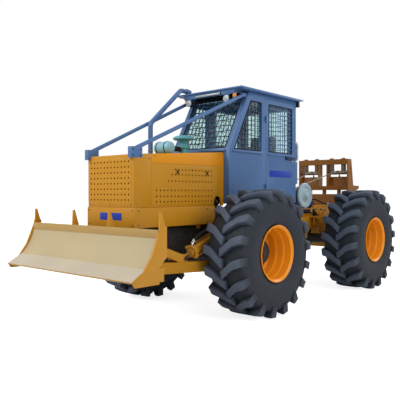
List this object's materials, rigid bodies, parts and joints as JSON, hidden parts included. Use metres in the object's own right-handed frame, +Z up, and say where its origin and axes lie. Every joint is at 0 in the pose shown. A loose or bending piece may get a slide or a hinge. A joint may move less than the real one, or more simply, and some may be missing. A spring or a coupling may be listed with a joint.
{
  "type": "log skidder",
  "caption": "Articulated cable log skidder with front dozer blade, guarded cab, drum winch and rear fairlead arch on large lugged tyres",
  "frame": {"origin": "middle of the machine's length and width, on the ground under it", "axes": "+Y toward the rear, +X to the machine's left, +Z up"},
  "size_m": [2.7044, 6.182, 3.1113],
  "materials": {
    "tyre": "dusty black rubber",
    "rim_paint": "orange-yellow gloss paint",
    "yellow_paint": "yellow gloss paint",
    "blade_paint": "pale worn yellow paint",
    "black_paint": "black chassis paint",
    "cab_paint": "blue-grey satin paint",
    "cab_glass": "clear toughened glass",
    "guard_steel": "dark blue-black painted steel bar",
    "teal_paint": "teal gloss paint",
    "engine_iron": "painted cast iron",
    "console_plastic": "matt moulded plastic",
    "seat_fabric": "woven seat cloth over foam",
    "rod_chrome": "hard chrome",
    "cover_grey": "silver-grey paint",
    "winch_blue": "dark blue paint",
    "bare_steel": "rubbed bare steel",
    "arch_paint": "yellow-brown worn paint"
  },
  "bodies": {
    "front": {"front_frame": "black_paint", "front_axle": "black_paint", "engine": "engine_iron", "hood": "yellow_paint", "skirt": "yellow_paint", "air_cleaner": "teal_paint", "exhaust": "cab_paint", "limb_risers": "cab_paint", "cab_shell": "cab_paint", "cab_roof": "cab_paint", "cab_glass": "cab_glass", "window_guards": "guard_steel", "operator_console": "console_plastic", "seat": "seat_fabric", "steps": "black_paint"},
    "door_left": {"door_left": "cab_paint", "door_glass_left": "cab_glass"},
    "door_right": {"door_right": "cab_paint", "door_glass_right": "cab_glass"},
    "wheel_front_left": {"tyre_front_left": "tyre", "rim_front_left": "rim_paint"},
    "wheel_front_right": {"tyre_front_right": "tyre", "rim_front_right": "rim_paint"},
    "wheel_rear_left": {"tyre_rear_left": "tyre", "rim_rear_left": "rim_paint"},
    "wheel_rear_right": {"tyre_rear_right": "tyre", "rim_rear_right": "rim_paint"},
    "blade": {"blade_face": "blade_paint", "blade_frame": "yellow_paint"},
    "lift_barrel_left": {"lift_barrel_left": "yellow_paint"},
    "lift_rod_left": {"lift_rod_left": "rod_chrome"},
    "lift_barrel_right": {"lift_barrel_right": "yellow_paint"},
    "lift_rod_right": {"lift_rod_right": "rod_chrome"},
    "rear": {"rear_frame": "yellow_paint", "rear_axle": "black_paint", "winch_frame": "winch_blue", "winch_covers": "cover_grey", "fairlead_arch": "arch_paint", "butt_plate": "yellow_paint"},
    "steer_barrel_left": {"steer_barrel_left": "yellow_paint"},
    "steer_rod_left": {"steer_rod_left": "rod_chrome"},
    "steer_barrel_right": {"steer_barrel_right": "yellow_paint"},
    "steer_rod_right": {"steer_rod_right": "rod_chrome"},
    "winch_drum": {"winch_drum": "bare_steel"},
    "level_roller_left": {"level_roller_left": "bare_steel"},
    "upright_roller_inner_left": {"upright_roller_inner_left": "bare_steel"},
    "upright_roller_outer_left": {"upright_roller_outer_left": "bare_steel"},
    "level_roller_right": {"level_roller_right": "bare_steel"},
    "upright_roller_inner_right": {"upright_roller_inner_right": "bare_steel"},
    "upright_roller_outer_right": {"upright_roller_outer_right": "bare_steel"}
  },
  "joints": [
    {"name": "door_left_hinge", "type": "hinge", "parent": "front", "child": "door_left", "pos_m": [0.544, 0.023, 2.134], "axis": [0, 0, -1], "range_deg": [0, 80]},
    {"name": "door_right_hinge", "type": "hinge", "parent": "front", "child": "door_right", "pos_m": [-0.544, 0.023, 2.134], "axis": [0, 0, 1], "range_deg": [0, 80]},
    {"name": "wheel_front_left_spin", "type": "hinge", "parent": "front", "child": "wheel_front_left", "pos_m": [1.06, -0.859, 0.8035], "axis": [1, 0, 0], "continuous": true},
    {"name": "wheel_front_right_spin", "type": "hinge", "parent": "front", "child": "wheel_front_right", "pos_m": [-1.06, -0.859, 0.8035], "axis": [1, 0, 0], "continuous": true},
    {"name": "wheel_rear_left_spin", "type": "hinge", "parent": "rear", "child": "wheel_rear_left", "pos_m": [1.06, 1.971, 0.8035], "axis": [1, 0, 0], "continuous": true},
    {"name": "wheel_rear_right_spin", "type": "hinge", "parent": "rear", "child": "wheel_rear_right", "pos_m": [-1.06, 1.971, 0.8035], "axis": [1, 0, 0], "continuous": true},
    {"name": "blade_lift", "type": "hinge", "parent": "front", "child": "blade", "pos_m": [0, -1.189, 0.635], "axis": [-1, 0, 0], "range_deg": [-21, 15]},
    {"name": "lift_left_swing", "type": "hinge", "parent": "front", "child": "lift_barrel_left", "pos_m": [0.66, -1.059, 1.06], "axis": [-1, 0, 0], "range_deg": [-17, 13]},
    {"name": "lift_left_stroke", "type": "slide", "parent": "lift_barrel_left", "child": "lift_rod_left", "axis": [0, -0.9486, -0.3166], "range_m": [-0.13, 0.16]},
    {"name": "lift_right_swing", "type": "hinge", "parent": "front", "child": "lift_barrel_right", "pos_m": [-0.66, -1.059, 1.06], "axis": [-1, 0, 0], "range_deg": [-17, 13]},
    {"name": "lift_right_stroke", "type": "slide", "parent": "lift_barrel_right", "child": "lift_rod_right", "axis": [0, -0.9486, -0.3166], "range_m": [-0.13, 0.16]},
    {"name": "articulation", "type": "hinge", "parent": "front", "child": "rear", "pos_m": [0, 0.691, 0.9], "axis": [0, 0, 1], "range_deg": [-38, 38]},
    {"name": "steer_left_swing", "type": "hinge", "parent": "front", "child": "steer_barrel_left", "pos_m": [0.22, 0.031, 0.9], "axis": [0, 0, 1], "range_deg": [-8, 8]},
    {"name": "steer_left_stroke", "type": "slide", "parent": "steer_barrel_left", "child": "steer_rod_left", "axis": [0.0428, 0.9991, 0], "range_m": [-0.175, 0.175]},
    {"name": "steer_right_swing", "type": "hinge", "parent": "front", "child": "steer_barrel_right", "pos_m": [-0.22, 0.031, 0.9], "axis": [0, 0, 1], "range_deg": [-8, 8]},
    {"name": "steer_right_stroke", "type": "slide", "parent": "steer_barrel_right", "child": "steer_rod_right", "axis": [-0.0428, 0.9991, 0], "range_m": [-0.175, 0.175]},
    {"name": "winch_spin", "type": "hinge", "parent": "rear", "child": "winch_drum", "pos_m": [0, 1.441, 1.515], "axis": [1, 0, 0], "continuous": true},
    {"name": "level_roller_left_spin", "type": "hinge", "parent": "rear", "child": "level_roller_left", "pos_m": [0.294, 2.711, 1.93], "axis": [1, 0, 0], "continuous": true},
    {"name": "upright_roller_inner_left_spin", "type": "hinge", "parent": "rear", "child": "upright_roller_inner_left", "pos_m": [0.155, 2.711, 2.05], "axis": [0, 0, 1], "continuous": true},
    {"name": "upright_roller_outer_left_spin", "type": "hinge", "parent": "rear", "child": "upright_roller_outer_left", "pos_m": [0.39, 2.711, 2.05], "axis": [0, 0, 1], "continuous": true},
    {"name": "level_roller_right_spin", "type": "hinge", "parent": "rear", "child": "level_roller_right", "pos_m": [-0.294, 2.711, 1.93], "axis": [1, 0, 0], "continuous": true},
    {"name": "upright_roller_inner_right_spin", "type": "hinge", "parent": "rear", "child": "upright_roller_inner_right", "pos_m": [-0.155, 2.711, 2.05], "axis": [0, 0, 1], "continuous": true},
    {"name": "upright_roller_outer_right_spin", "type": "hinge", "parent": "rear", "child": "upright_roller_outer_right", "pos_m": [-0.39, 2.711, 2.05], "axis": [0, 0, 1], "continuous": true}
  ],
  "couplings": [
    {"joint": "lift_left_swing", "follows": "blade_lift", "ratio": 0.6906},
    {"joint": "lift_left_stroke", "follows": "blade_lift", "m_per_rad": -0.347},
    {"joint": "lift_right_swing", "follows": "blade_lift", "ratio": 0.6906},
    {"joint": "lift_right_stroke", "follows": "blade_lift", "m_per_rad": -0.347},
    {"joint": "steer_left_swing", "follows": "articulation", "ratio": 0.0549},
    {"joint": "steer_left_stroke", "follows": "articulation", "m_per_rad": 0.2387},
    {"joint": "steer_right_swing", "follows": "articulation", "ratio": 0.0549},
    {"joint": "steer_right_stroke", "follows": "articulation", "m_per_rad": -0.2387}
  ]
}
